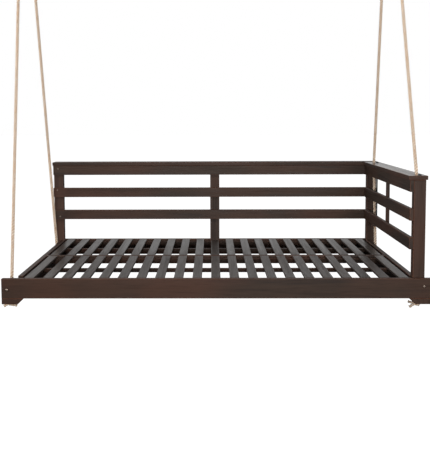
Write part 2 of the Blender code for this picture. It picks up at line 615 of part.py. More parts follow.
def make_ropes(side, x, swing):
    make_ring(side, x, swing)
    for front, end in ((-1, "front"), (1, "rear")):
        holes = rope_holes(side)[front]
        centre = loop_centre(x, front)
        along = (holes[0] - centre).normalized()
        make_ring_loop(f"{side}_{end}_ring_loop", centre, along, front, swing)
        start = centre + along * (RING_KNOT_OFFSET + RING_KNOT_HALF + FIT_GAP)
        points = [p - PIVOT for p in smooth_route(rope_route(start, holes))]
        rope = add_tube(f"{side}_{end}_rope", points, ROPE_RADIUS, swing, resolution=3)
        finish_material(rope, ROPE_FIBRE, 0.9)
        bottom = holes[-1] + Vector((0, 0, -CROSS_THICKNESS - FIT_GAP))
        tail_side = 1 if (side, end) == ("left", "rear") else -1
        make_foot_knot(f"{side}_{end}_rope_knot", bottom, tail_side, front, swing)


# ---- build ---------------------------------------------------------------------------------
clear_scene()
OBJECT = new_collection("porch_swing")
CUTTERS = new_collection("cutters")

swing_pivot = add_empty("swing_pivot", PIVOT)
bench_datum = add_empty("bench_datum", BENCH - PIVOT, swing_pivot)

make_beams(bench_datum)
make_side_rails(bench_datum)
make_mid_rails(bench_datum)
make_cross_members(bench_datum)
make_ledgers(bench_datum)
make_slats(bench_datum)
make_posts(bench_datum)
make_back_rails(bench_datum)
make_arm(bench_datum)
make_caps(bench_datum)
make_bolts(bench_datum)
for side_label, eye_x in (("left", -EYE_SPAN), ("right", EYE_SPAN)):
    make_ceiling_fitting(side_label, eye_x)
    make_ropes(side_label, eye_x, swing_pivot)
bpy.context.view_layer.update()
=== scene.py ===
"""Looks for the hanging day-bed porch swing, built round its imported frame.

Everything is in metres in the row frame. The bench is placed by its own datum: X from its
middle, Y back from the front face of its front beam, Z up from the top of its slats.
"""

import math

import bmesh
import bpy
from mathutils import Matrix, Vector


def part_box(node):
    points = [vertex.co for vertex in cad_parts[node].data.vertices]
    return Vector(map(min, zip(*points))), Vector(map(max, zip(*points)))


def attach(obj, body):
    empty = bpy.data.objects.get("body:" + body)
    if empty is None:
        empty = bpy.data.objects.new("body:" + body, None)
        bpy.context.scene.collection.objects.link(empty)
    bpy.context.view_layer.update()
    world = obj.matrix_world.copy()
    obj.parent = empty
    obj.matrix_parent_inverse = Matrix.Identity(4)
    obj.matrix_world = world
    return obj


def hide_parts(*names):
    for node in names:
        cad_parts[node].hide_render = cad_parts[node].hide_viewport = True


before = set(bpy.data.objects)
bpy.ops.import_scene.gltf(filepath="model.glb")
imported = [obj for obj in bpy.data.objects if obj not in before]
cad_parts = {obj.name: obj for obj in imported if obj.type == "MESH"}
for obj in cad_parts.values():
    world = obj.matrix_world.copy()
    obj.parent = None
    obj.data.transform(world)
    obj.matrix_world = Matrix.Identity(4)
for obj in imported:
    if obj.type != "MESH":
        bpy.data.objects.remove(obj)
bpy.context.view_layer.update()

SWING = "swing"                  # the body that swings
FITTINGS = "ceiling_fittings"    # the body that the ceiling holds

BEAM_LOW, BEAM_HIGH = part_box("front_beam")
DATUM = Vector(((BEAM_LOW.x + BEAM_HIGH.x) / 2, BEAM_LOW.y, BEAM_HIGH.z))
REAR_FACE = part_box("rear_beam")[1].y
FIT_GAP = 0.0003

# ---- ropes ---------------------------------------------------------------------------------
ROPE_DIAMETER = 0.018
ROPE_LAY = 0.045                 # length of one full turn of a strand
ROPE_STEP = 0.0035               # between rings of the rope's mesh
KNOT_STEP = 0.002                # the same in its knots and loops
KNOT_DIAMETER = 0.0155           # rope pulled tight in a knot on a ring
KNOT_LAY = 0.030
FOOT_DIAMETER = 0.0140           # and in a knot under the seat
FOOT_LAY = 0.028
HOLE_RADIUS = ROPE_DIAMETER / 2 + 0.003
ROPE_STAND_OFF = 0.0015          # rope to the back of the front post
REAR_ROPE_SPACES = {"left": 0.090, "right": 0.158}   # back of the rear beam to the rear ropes
LEFT_INSETS = {"front": 0.027, "rear": 0.049}     # rope holes, from the front beam's end
RIGHT_INSETS = {"front": 0.049, "rear": 0.049}
CAP_INSETS = {"front": 0.0615, "rear": 0.067}
LOOP_ANGLE = math.radians(42.0)  # of each rope's loop, from the bottom of its ring
RING_KNOT_OFFSET = 0.036
RING_KNOT_HALF = 0.022
CROSS_THICKNESS = 0.028
CROSS_CHAMFER = 0.024
PLATE_HOLE_RADIUS = 0.0035
PLATE_HOLE_SPACING = 0.064

# ---- seat ----------------------------------------------------------------------------------
SLAT_COUNT = 21
SLAT_WIDTH = 0.0455
SLAT_THICKNESS = 0.012
BATTEN_WIDTH = 0.022
BATTEN_HEIGHT = 0.019

# ---- fastenings ----------------------------------------------------------------------------
SCREW_SPACING = 0.27             # about, along the ledgers
SCREW_INSET = 0.03               # the outer screws, from a ledger's ends
THREAD_PITCH = 0.0015            # of the arm's long bolts
THREAD_TURNS = 40

# ---- camera --------------------------------------------------------------------------------
CAMERA_PLACE = Vector((-0.0192, -3.2613, 0.7813))    # from the bench's datum
CAMERA_YAW = math.radians(0.596)                     # to the left
CAMERA_PITCH = math.radians(4.02)                    # down
CAMERA_ROLL = math.radians(-0.188)
CAMERA_LENS = 57.99
CAMERA_SENSOR = 36.0
CAMERA_SHIFT = (0.0246, -0.1442)
FLOOR_DROP = 0.52                # floor below the slats

# ---- light ---------------------------------------------------------------------------------
FRONT_POWER = 150.0              # of the soft box, in watts
FRONT_FILL = 0.13                # strength of the world all round, above the horizon
BACK_LIGHT = 0.86                # more of it from behind
UNDER_FILL = 0.015
TOP_POWER = 45.0                 # of the soft box above the front
SIDE_POWER = 60.0                # of the one at the viewer's left

FRONT_ROPE_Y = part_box("arm_front_post")[1].y + ROPE_STAND_OFF + ROPE_DIAMETER / 2
ROPE_Y = {side: {"front": FRONT_ROPE_Y, "rear": REAR_FACE - space}
          for side, space in REAR_ROPE_SPACES.items()}


# ---- node helpers --------------------------------------------------------------------------
def new_material(name):
    made = bpy.data.materials.new(name)
    made.use_nodes = True
    tree = made.node_tree
    tree.nodes.clear()
    output = tree.nodes.new("ShaderNodeOutputMaterial")
    shader = tree.nodes.new("ShaderNodeBsdfPrincipled")
    tree.links.new(shader.outputs["BSDF"], output.inputs["Surface"])
    return made, tree, shader


def set_input(tree, node, socket, value):
    """Puts a number, a colour or another node's output on a socket."""
    if isinstance(value, bpy.types.NodeSocket):
        tree.links.new(value, node.inputs[socket])
    elif value is not None:
        node.inputs[socket].default_value = value


def math_node(tree, operation, a, b=None, clamp=False):
    node = tree.nodes.new("ShaderNodeMath")
    node.operation = operation
    node.use_clamp = clamp
    set_input(tree, node, 0, a)
    set_input(tree, node, 1, b)
    return node.outputs[0]


def noise(tree, vector, scale, detail=4.0, roughness=0.5, distortion=0.0):
    node = tree.nodes.new("ShaderNodeTexNoise")
    set_input(tree, node, "Vector", vector)
    node.inputs["Scale"].default_value = scale
    node.inputs["Detail"].default_value = detail
    node.inputs["Roughness"].default_value = roughness
    node.inputs["Distortion"].default_value = distortion
    return node.outputs["Fac"]


def ramp(tree, factor, stops):
    """A colour ramp from (place, colour) pairs."""
    node = tree.nodes.new("ShaderNodeValToRGB")
    set_input(tree, node, "Fac", factor)
    elements = node.color_ramp.elements
    while len(elements) < len(stops):
        elements.new(0.5)
    for element, (place, colour) in zip(elements, stops):
        element.position = place
        element.color = (*colour, 1.0)
    return node.outputs["Color"]


def span(tree, value, low, high, to_low=0.0, to_high=1.0):
    """Maps low..high to to_low..to_high, and clamps."""
    node = tree.nodes.new("ShaderNodeMapRange")
    set_input(tree, node, "Value", value)
    node.inputs["From Min"].default_value = low
    node.inputs["From Max"].default_value = high
    node.inputs["To Min"].default_value = to_low
    node.inputs["To Max"].default_value = to_high
    return node.outputs["Result"]


def mix(tree, factor, a, b, blend="MIX"):
    node = tree.nodes.new("ShaderNodeMix")
    node.data_type = "RGBA"
    node.blend_type = blend
    set_input(tree, node, 0, factor)
    set_input(tree, node, 6, a if isinstance(a, bpy.types.NodeSocket) else (*a, 1.0))
    set_input(tree, node, 7, b if isinstance(b, bpy.types.NodeSocket) else (*b, 1.0))
    return node.outputs[2]


def bump(tree, height, distance, strength=1.0, normal=None):
    node = tree.nodes.new("ShaderNodeBump")
    node.inputs["Distance"].default_value = distance
    node.inputs["Strength"].default_value = strength
    set_input(tree, node, "Height", height)
    set_input(tree, node, "Normal", normal)
    return node.outputs["Normal"]


def object_place(tree, stretch=(1.0, 1.0, 1.0), shuffle=0.0):
    """Object coordinates, stretched, and moved on by a different amount on each piece."""
    place = tree.nodes.new("ShaderNodeTexCoord").outputs["Object"]
    mapping = tree.nodes.new("ShaderNodeMapping")
    tree.links.new(place, mapping.inputs["Vector"])
    mapping.inputs["Scale"].default_value = stretch
    if shuffle:
        chance = tree.nodes.new("ShaderNodeObjectInfo").outputs["Random"]
        offset = tree.nodes.new("ShaderNodeCombineXYZ")
        for k, share in enumerate((1.0, 0.73, 0.41)):
            tree.links.new(math_node(tree, "MULTIPLY", chance, shuffle * share), offset.inputs[k])
        tree.links.new(offset.outputs[0], mapping.inputs["Location"])
    return mapping.outputs["Vector"]


# ---- materials -----------------------------------------------------------------------------
def stained_wood(name, grain, dark, light, warm, roughness=(0.44, 0.60), gloss_level=0.24, top_polish=0.0):
    """Dark stained softwood whose grain runs along one axis: streaks, pores, warm worn edges.

    top_polish makes the faces that look up smoother, as an arm's top is rubbed.
    """
    made, tree, shader = new_material(name)
    along = "XYZ".index(grain)

    def stretch(lengthwise, across):
        return tuple(lengthwise if k == along else across for k in range(3))

    streaks = noise(tree, object_place(tree, stretch(1.2, 26.0), 40.0), 1.0, 6.0, 0.62, 0.6)
    bands = noise(tree, object_place(tree, stretch(0.5, 7.0), 25.0), 1.0, 3.0, 0.5, 1.2)
    fibres = noise(tree, object_place(tree, stretch(9.0, 420.0), 60.0), 1.0, 3.0, 0.6)
    blotches = noise(tree, object_place(tree, stretch(2.2, 4.0), 15.0), 1.0, 2.0, 0.5)
    colour = ramp(tree, streaks, [(0.30, dark), (0.52, light), (0.72, dark)])
    colour = mix(tree, span(tree, bands, 0.35, 0.7, 0.0, 0.55), colour, dark)
    colour = mix(tree, span(tree, blotches, 0.42, 0.72, 0.0, 0.55), colour, warm)
    pores = span(tree, fibres, 0.30, 0.44, 0.0, 1.0)
    colour = mix(tree, span(tree, pores, 0.0, 1.0, 0.45, 0.0), colour, tuple(c * 0.35 for c in dark))
    edge = tree.nodes.new("ShaderNodeAttribute")
    edge.attribute_name = "edge"
    worn = math_node(tree, "MULTIPLY", edge.outputs["Fac"], span(tree, streaks, 0.35, 0.65, 0.35, 0.9))
    colour = mix(tree, worn, colour, tuple(min(c * 1.5, 1.0) for c in warm))
    set_input(tree, shader, "Base Color", colour)
    gloss = span(tree, streaks, 0.3, 0.7, roughness[0], roughness[1])
    gloss = math_node(tree, "ADD", gloss, span(tree, fibres, 0.3, 0.7, 0.10, -0.04))
    if top_polish:
        facing = tree.nodes.new("ShaderNodeSeparateXYZ")
        tree.links.new(tree.nodes.new("ShaderNodeNewGeometry").outputs["True Normal"], facing.inputs[0])
        upward = span(tree, facing.outputs[2], 0.80, 0.88)
        gloss = math_node(tree, "SUBTRACT", gloss, math_node(tree, "MULTIPLY", upward, top_polish))
        level = span(tree, upward, 0.0, 1.0, gloss_level, 3 * gloss_level)
        set_input(tree, shader, "Specular IOR Level", level)
    else:
        shader.inputs["Specular IOR Level"].default_value = gloss_level
    set_input(tree, shader, "Roughness", gloss)
    relief = math_node(tree, "ADD", math_node(tree, "MULTIPLY", fibres, 0.6),
                       math_node(tree, "MULTIPLY", streaks, 0.8))
    set_input(tree, shader, "Normal", bump(tree, relief, 0.00035, 0.6))
    return made


def rope_fibre(name):
    """Laid hemp-like rope: fine yarns along the strands, brown flecks, and painted shade darkening the
    grooves between strands.
    """
    made, tree, shader = new_material(name)
    uv = tree.nodes.new("ShaderNodeUVMap")
    uv.uv_map = "rope"
    parts = tree.nodes.new("ShaderNodeSeparateXYZ")
    tree.links.new(uv.outputs["UV"], parts.inputs[0])
    place = object_place(tree)
    wobble = noise(tree, place, 220.0, 3.0, 0.6)
    turn = math_node(tree, "MULTIPLY", parts.outputs[0], 2 * math.pi * 34)
    yarns = math_node(tree, "SINE", math_node(tree, "ADD", turn, math_node(tree, "MULTIPLY", wobble, 9.0)))
    yarns = span(tree, yarns, -1.0, 1.0)
    # mask of painted shade: how deep each point lies in a groove between the strands
    painted_groove_shade = tree.nodes.new("ShaderNodeAttribute")
    painted_groove_shade.attribute_name = "painted_groove_shade"
    base = ramp(tree, noise(tree, place, 60.0, 3.0, 0.6),
                [(0.30, (0.86, 0.66, 0.46)), (0.50, (0.98, 0.85, 0.68)), (0.70, (1.00, 0.93, 0.80))])
    flecks = span(tree, noise(tree, object_place(tree, (1.0, 1.0, 0.45)), 190.0, 2.0, 0.5), 0.60, 0.68)
    colour = mix(tree, math_node(tree, "MULTIPLY", flecks, 0.85), base, (0.36, 0.17, 0.08))
    colour = mix(tree, span(tree, yarns, 0.0, 0.5, 0.35, 0.0), colour, (0.62, 0.44, 0.29))
    # painted shade: the grooves between the strands are darkened towards a deep brown
    colour = mix(tree, math_node(tree, "MULTIPLY", painted_groove_shade.outputs["Fac"], 0.95), colour, (0.36, 0.15, 0.06))
    set_input(tree, shader, "Base Color", colour)
    shader.inputs["Roughness"].default_value = 0.85
    shader.inputs["Sheen Weight"].default_value = 0.25
    shader.inputs["Sheen Roughness"].default_value = 0.5
    relief = math_node(tree, "ADD", math_node(tree, "MULTIPLY", yarns, 0.7),
                       math_node(tree, "MULTIPLY", wobble, 0.6))
    set_input(tree, shader, "Normal", bump(tree, relief, 0.0006, 0.9))
    return made


def steel(name, colour, roughness, metallic, grit, relief):
    """Plated or coated steel with a fine uneven finish and small dull patches."""
    made, tree, shader = new_material(name)
    place = object_place(tree, shuffle=9.0)
    fine = noise(tree, place, grit, 4.0, 0.6)
    patches = noise(tree, place, grit * 0.12, 3.0, 0.6)
    tone = ramp(tree, patches, [(0.35, tuple(c * 0.78 for c in colour)), (0.65, colour)])
    set_input(tree, shader, "Base Color", mix(tree, span(tree, fine, 0.4, 0.7, 0.0, 0.25), tone,
                                              tuple(c * 0.6 for c in colour)))
    rough = math_node(tree, "ADD", span(tree, patches, 0.3, 0.7, roughness - 0.06, roughness + 0.08),
                      span(tree, fine, 0.3, 0.7, -0.03, 0.05))
    set_input(tree, shader, "Roughness", rough)
    shader.inputs["Metallic"].default_value = metallic
    set_input(tree, shader, "Normal", bump(tree, fine, relief, 0.5))
    return made


ESPRESSO = dict(dark=(0.021, 0.0120, 0.0085), light=(0.049, 0.028, 0.018), warm=(0.082, 0.031, 0.017))
SLAT_STAIN = dict(dark=(0.024, 0.0185, 0.016), light=(0.052, 0.041, 0.035), warm=(0.050, 0.034, 0.027))
WOOD = {axis: stained_wood("espresso_grain_" + axis.lower(), axis, **ESPRESSO) for axis in "XYZ"}
SLAT_WOOD = stained_wood("slat_stain", "Y", **SLAT_STAIN, roughness=(0.28, 0.44), gloss_level=0.38)
CAP_WOOD = stained_wood("cap_stain", "Y", **ESPRESSO, top_polish=0.28)
ROPE_FIBRE = rope_fibre("rope_fibre")
BLACK_STEEL = steel("black_coated_steel", (0.018, 0.018, 0.020), 0.42, 0.0, 900.0, 0.00008)
ZINC = steel("zinc_plated_steel", (0.62, 0.62, 0.60), 0.34, 1.0, 700.0, 0.00005)
BRONZED = steel("bronzed_screw", (0.34, 0.27, 0.22), 0.40, 1.0, 900.0, 0.00005)


# ---- piece helpers -------------------------------------------------------------------------
def add_object(name, mesh, material, body, replaced=()):
    obj = bpy.data.objects.new(name, mesh)
    bpy.context.scene.collection.objects.link(obj)
    obj.data.materials.append(material)
    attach(obj, body)
    if replaced:
        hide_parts(*replaced)
    return obj


def weight_normals(obj):
    """Keeps flat faces flat beside their rounded edges."""
    obj.data.shade_smooth()
    even = obj.modifiers.new("even_normals", "WEIGHTED_NORMAL")
    even.weight = 100
    even.keep_sharp = False


def cut_holes(bm, holes):
    """Drills round holes through a closed mesh: each is (centre, axis, radius, length)."""
    mesh = bpy.data.meshes.new("blank")
    bm.to_mesh(mesh)
    bm.free()
    blank = bpy.data.objects.new("blank", mesh)
    bpy.context.scene.collection.objects.link(blank)
    drills = []
    for centre, axis, radius, length in holes:
        drill_bm = bmesh.new()
        bmesh.ops.create_cone(drill_bm, cap_ends=True, segments=40, radius1=radius, radius2=radius,
                              depth=length)
        drill_mesh = bpy.data.meshes.new("drill")
        drill_bm.to_mesh(drill_mesh)
        drill_bm.free()
        drill = bpy.data.objects.new("drill", drill_mesh)
        bpy.context.scene.collection.objects.link(drill)
        drill.location = centre
        drill.rotation_mode = "QUATERNION"
        drill.rotation_quaternion = Vector(axis).to_track_quat("Z", "Y")
        drills.append(drill)
        cut = blank.modifiers.new("cut", "BOOLEAN")
        cut.operation = "DIFFERENCE"
        cut.solver = "EXACT"
        cut.object = drill
    bpy.context.view_layer.update()
    result = bmesh.new()
    result.from_object(blank, bpy.context.evaluated_depsgraph_get())
    for old in [blank, *drills]:
        bpy.data.objects.remove(old)
    return result


def round_edges(bm, width, segments=3):
    """Rounds every sharp edge and marks the rounded faces, so that the stain can wear there."""
    sharp = [e for e in bm.edges if e.is_manifold and e.calc_face_angle(0.0) > math.radians(35)]
    made = bmesh.ops.bevel(bm, geom=sharp, offset=width, segments=segments, profile=0.5,
                           affect="EDGES", clamp_overlap=True)
    edge = bm.loops.layers.float.new("edge")
    rounded = set(made["faces"])
    for face in bm.faces:
        for loop in face.loops:
            loop[edge] = 1.0 if face in rounded else 0.0


def board_mesh(low, high, width, holes=(), chamfer=None):
    """A board between two corners with eased edges; chamfer is (side, size) on a lower X edge."""
    bm = bmesh.new()
    bmesh.ops.create_cube(bm, size=1.0)
    bmesh.ops.scale(bm, vec=high - low, verts=bm.verts)
    bmesh.ops.translate(bm, vec=(low + high) / 2, verts=bm.verts)
    if chamfer:
        side, size = chamfer
        x = high.x if side > 0 else low.x
        lower = [e for e in bm.edges
                 if all(abs(v.co.x - x) < 1e-6 and abs(v.co.z - low.z) < 1e-6 for v in e.verts)]
        bmesh.ops.bevel(bm, geom=lower, offset=size, segments=1, affect="EDGES")
    if holes:
        bm = cut_holes(bm, holes)
    round_edges(bm, width)
    mesh = bpy.data.meshes.new("board")
    bm.to_mesh(mesh)
    bm.free()
    return mesh


def board(name, node, grain, width=0.002, material=None, holes=(), chamfer=None):
    """A finished board in the place of a CAD node."""
    low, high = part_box(node)
    made = add_object(name, board_mesh(low, high, width, holes, chamfer), material or WOOD[grain],
                      SWING, [node])
    weight_normals(made)
    return made


def turn_profile(bm, profile, place, axis, steps):
    """Adds a turned shape: (radius, height) pairs up its own axis, put at a place and pointed along axis."""
    rings, made = [], []
    for radius, height in profile:
        count = 1 if radius < 1e-6 else steps
        ring = [bm.verts.new((radius * math.cos(2 * math.pi * k / steps),
                              radius * math.sin(2 * math.pi * k / steps), height)) for k in range(count)]
        rings.append(ring)
        made += ring
    for lower, upper in zip(rings, rings[1:]):
        for k in range(steps):
            corners = [lower[k % len(lower)], lower[(k + 1) % len(lower)],
                       upper[(k + 1) % len(upper)], upper[k % len(upper)]]
            unique = list(dict.fromkeys(corners))
            if len(unique) > 2:
                bm.faces.new(unique)
    turn = Vector(axis).to_track_quat("Z", "Y").to_matrix().to_4x4()
    bmesh.ops.transform(bm, matrix=Matrix.Translation(place) @ turn, verts=made)


def turned(name, profile, places, axis, material, body, replaced=(), steps=32):
    """One object of equal turned pieces at the given places."""
    bm = bmesh.new()
    for place in places:
        turn_profile(bm, profile, place, axis, steps)
    bmesh.ops.recalc_face_normals(bm, faces=bm.faces)
    mesh = bpy.data.meshes.new(name)
    bm.to_mesh(mesh)
    bm.free()
    made = add_object(name, mesh, material, body, replaced)
    made.data.shade_smooth()
    made.data.set_sharp_from_angle(angle=math.radians(42))
    return made


def ring_mesh(name, centre, radius, wire, axis, weld, steps=120, sides=20):
    """A wire ring whose butt weld stands slightly proud at the angle weld."""
    bm = bmesh.new()
    across = Vector(axis).orthogonal().normalized()
    other = Vector(axis).cross(across)
    rows = []
    for i in range(steps):
        angle = 2 * math.pi * i / steps
        away = (angle - weld + math.pi) % (2 * math.pi) - math.pi
        thick = wire * (1 + 0.14 * math.exp(-(away * radius / (0.45 * wire)) ** 2))
        out = across * math.cos(angle) + other * math.sin(angle)
        rows.append([bm.verts.new(centre + out * (radius + thick * math.cos(2 * math.pi * k / sides))
                                  + Vector(axis) * thick * math.sin(2 * math.pi * k / sides))
                     for k in range(sides)])
    for i in range(steps):
        for k in range(sides):
            bm.faces.new((rows[i][k], rows[i][(k + 1) % sides],
                          rows[(i + 1) % steps][(k + 1) % sides], rows[(i + 1) % steps][k]))
    bmesh.ops.recalc_face_normals(bm, faces=bm.faces)
    mesh = bpy.data.meshes.new(name)
    bm.to_mesh(mesh)
    bm.free()
    mesh.shade_smooth()
    return mesh


# ---- rope geometry -------------------------------------------------------------------------
def smooth_line(points, step):
    """Evenly spaced points on a smooth curve through the given ones."""
    chords = [b - a for a, b in zip(points, points[1:])]
    headings = [chords[0].normalized()]
    for a, b in zip(chords, chords[1:]):
        headings.append((a.normalized() * b.length + b.normalized() * a.length).normalized())
    headings.append(chords[-1].normalized())
    fine = []
    for i, chord in enumerate(chords):
        count = max(4, round(chord.length / step * 2))
        for k in range(count):
            t = k / count
            fine.append(points[i] * (2 * t ** 3 - 3 * t ** 2 + 1)
                        + headings[i] * chord.length * (t ** 3 - 2 * t ** 2 + t)
                        + points[i + 1] * (3 * t ** 2 - 2 * t ** 3)
                        + headings[i + 1] * chord.length * (t ** 3 - t ** 2))
    fine.append(points[-1].copy())
    run = [0.0]
    for a, b in zip(fine, fine[1:]):
        run.append(run[-1] + (b - a).length)
    count = max(2, round(run[-1] / step))
    line, k = [], 0
    for i in range(count + 1):
        goal = run[-1] * i / count
        while k < len(run) - 2 and run[k + 1] < goal:
            k += 1
        share = (goal - run[k]) / max(run[k + 1] - run[k], 1e-12)
        line.append(fine[k].lerp(fine[k + 1], min(max(share, 0.0), 1.0)))
    return line


def laid_rope_mesh(name, line, diameter, lay=ROPE_LAY, per_strand=9, flare=0.0):
    """Three strands laid together along a line, as one closed surface that turns as it goes."""
    strand = diameter / 4
    around = 3 * per_strand
    outline = []
    for k in range(around):
        angle = 2 * math.pi * k / around
        off = (angle + math.pi / 3) % (2 * math.pi / 3) - math.pi / 3
        reach = strand * math.cos(off) + math.sqrt(strand ** 2 - (strand * math.sin(off)) ** 2)
        outline.append((angle, reach, min(1.0, (abs(off) / (math.pi / 3)) ** 1.6)))
    bm = bmesh.new()
    uv = bm.loops.layers.uv.new("rope")
    # per-vertex mask for painted shade: 1 deep in the grooves between strands, 0 on the strands' crowns
    painted_groove_shade = bm.verts.layers.float.new("painted_groove_shade")
    tangent = (line[1] - line[0]).normalized()
    side = tangent.orthogonal().normalized()
    rings, run = [], 0.0
    total = sum((b - a).length for a, b in zip(line, line[1:]))
    for i, place in enumerate(line):
        ahead = line[min(i + 1, len(line) - 1)] - line[max(i - 1, 0)]
        if i:
            run += (place - line[i - 1]).length
        fresh = ahead.normalized()
        side = (tangent.rotation_difference(fresh) @ side)
        side = (side - fresh * side.dot(fresh)).normalized()
        tangent = fresh
        other = tangent.cross(side)
        turn = 2 * math.pi * run / lay
        size = 1.0 + flare * max(0.0, 1 - (total - run) / (0.6 * diameter)) ** 2
        ring = []
        for angle, reach, depth in outline:
            full = angle + turn
            vert = bm.verts.new(place + (side * math.cos(full) + other * math.sin(full)) * reach * size)
            vert[painted_groove_shade] = depth
            ring.append((vert, full / (2 * math.pi)))
        rings.append((ring, run))
    for (lower, low_run), (upper, high_run) in zip(rings, rings[1:]):
        for k in range(around):
            m = (k + 1) % around
            wrap = 1.0 if m == 0 else 0.0
            face = bm.faces.new((lower[k][0], lower[m][0], upper[m][0], upper[k][0]))
            places = ((lower[k][1], low_run), (lower[m][1] + wrap, low_run),
                      (upper[m][1] + wrap, high_run), (upper[k][1], high_run))
            for loop, spot in zip(face.loops, places):
                loop[uv].uv = spot
    for (ring, place), bulge in ((rings[0], -0.2), (rings[-1], 0.2)):
        middle = bm.verts.new(sum((v.co for v, _ in ring), Vector()) / around
                              + tangent * (bulge * diameter if place else 0.0))
        middle[painted_groove_shade] = 0.3
        for k in range(around):
            bm.faces.new((ring[k][0], ring[(k + 1) % around][0], middle))
    bmesh.ops.recalc_face_normals(bm, faces=bm.faces)
    mesh = bpy.data.meshes.new(name)
    bm.to_mesh(mesh)
    bm.free()
    mesh.shade_smooth()
    return mesh


def coil_points(centre, up, start_side, radius, low, high, turns, per_turn=10):
    """Points of a coil round an axis, from height low to height high."""
    side = (start_side - up * start_side.dot(up)).normalized()
    other = up.cross(side)
    count = round(turns * per_turn)
    points = []
    for k in range(count + 1):
        angle = 2 * math.pi * k / per_turn
        out = side * math.cos(angle) + other * math.sin(angle)
        points.append(centre + up * (low + (high - low) * k / count) + out * radius)
    return points


def foot_knot(name, node, top, tail_to, stub_to):
    """A stopper knot in the doubled end: coils under the hole, a longer tail and a short stub."""
    down = Vector((0, 0, -1))
    d = FOOT_DIAMETER
    route = [top, top + down * 0.8 * d, top + down * 1.5 * d]
    route += coil_points(top, -down, -tail_to, d * 0.70, -1.62 * d, -0.66 * d, 1.5)
    end = top + tail_to
    route += [top + tail_to * 0.45 + down * 0.35 * d, end.lerp(top, 0.25) + down * 0.1 * d, end]
    knot_mesh = laid_rope_mesh(name, smooth_line(route, KNOT_STEP), d, lay=FOOT_LAY, flare=0.25)
    knot = add_object(name, knot_mesh, ROPE_FIBRE, SWING, [node])
    root = top + stub_to * 0.25 + down * 0.7 * d
    stub_route = [root, root.lerp(top + stub_to, 0.35) + down * 0.15 * d, top + stub_to]
    stub_mesh = laid_rope_mesh(name + "_stub", smooth_line(stub_route, KNOT_STEP), d * 0.9, lay=FOOT_LAY,
                               flare=0.25)
    stub = add_object(name + "_stub", stub_mesh, ROPE_FIBRE, SWING)
    return knot, stub


# ---- ropes and their knots -----------------------------------------------------------------
def make_ropes():
    for side in ("left", "right"):
        ring_low, ring_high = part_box(side + "_ring")
        wire = (ring_high.x - ring_low.x) / 2
        ring_radius = (ring_high.z - ring_low.z) / 2 - wire
        for end in ("front", "rear"):
            make_rope(side, end, (ring_low + ring_high) / 2, ring_radius, wire)


def rope_holes(side, end):
    """Where a rope goes into the wood, from the top down."""
    y = ROPE_Y[side][end]
    member_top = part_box(side + "_cross_member")[1].z
    if side == "left":
        return [Vector((BEAM_LOW.x + LEFT_INSETS[end], y, member_top))]
    return [Vector((BEAM_HIGH.x - CAP_INSETS[end], y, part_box("arm_cap")[1].z)),
            Vector((BEAM_HIGH.x - RIGHT_INSETS[end], y, member_top))]


def make_rope(side, end, ring_centre, ring_radius, wire):
    front = -1 if end == "front" else 1
    holes = rope_holes(side, end)
    loop_centre = ring_centre + Vector((0, front * math.sin(LOOP_ANGLE), -math.cos(LOOP_ANGLE))) * ring_radius
    first = holes[0]
    along = (first - loop_centre).normalized()
    start = loop_centre + along * (RING_KNOT_OFFSET + RING_KNOT_HALF + FIT_GAP)
    away = (start - first).normalized()
    route = [start, start.lerp(first, 0.33), start.lerp(first, 0.66)]
    route += [first + away * 0.06, first + away * 0.025, first + Vector((0, 0, -0.006))]
    if len(holes) == 2:
        low = holes[1]
        onward = (low - first).normalized()
        route += [first + onward * 0.035, first.lerp(low, 0.5), low - onward * 0.035]
    bottom = holes[-1] + Vector((0, 0, -CROSS_THICKNESS))
    route.append(bottom)
    line = smooth_line(route, ROPE_STEP)
    name = f"{side}_{end}_laid_rope"
    rope = add_object(name, laid_rope_mesh(name, line, ROPE_DIAMETER), ROPE_FIBRE, SWING,
                      [f"{side}_{end}_rope"])
    if side == "left":
        tail_to, stub_to = Vector((-0.036, front * 0.004, -0.027)), Vector((0.027, front * 0.006, -0.024))
    else:
        tail_to, stub_to = Vector((-0.037, front * 0.008, -0.031)), Vector((-0.040, front * -0.010, -0.009))
    knot, stub = foot_knot(f"{side}_{end}_stopper_knot", f"{side}_{end}_rope_knot", bottom, tail_to, stub_to)
    loop = ring_loop(f"{side}_{end}_ring_hitch", f"{side}_{end}_ring_loop", loop_centre, along, front,
                     wire, start)


def ring_loop(name, node, centre, along, front, wire, start):
    """The rope's end: up through its coils, once round the ring's wire, back down and coiled round itself."""
    d = KNOT_DIAMETER
    turn = wire + d / 2 + 0.0006
    wire_way = Vector((0, math.cos(LOOP_ANGLE), front * math.sin(LOOP_ANGLE)))
    across = along.cross(wire_way).normalized()
    route = [start, start - along * 0.030]
    for k in range(7):
        angle = math.radians(-35 + 250 * k / 6)
        spot = centre + (across * math.cos(angle) - along * math.sin(angle)) * turn
        route.append(spot + wire_way * (k / 6 - 0.5) * 0.004)
    knot_middle = centre + along * RING_KNOT_OFFSET
    route += coil_points(knot_middle, -along, -across, d * 0.95, 0.95 * d, -0.85 * d, 1.6)
    last, step = route[-1], route[-1] - route[-2]
    route += [last + step * 0.7, last + step * 1.3 + along * 0.014]
    line = smooth_line(route, KNOT_STEP)
    mesh = laid_rope_mesh(name, line, d, lay=KNOT_LAY, flare=0.2)
    return add_object(name, mesh, ROPE_FIBRE, SWING, [node])


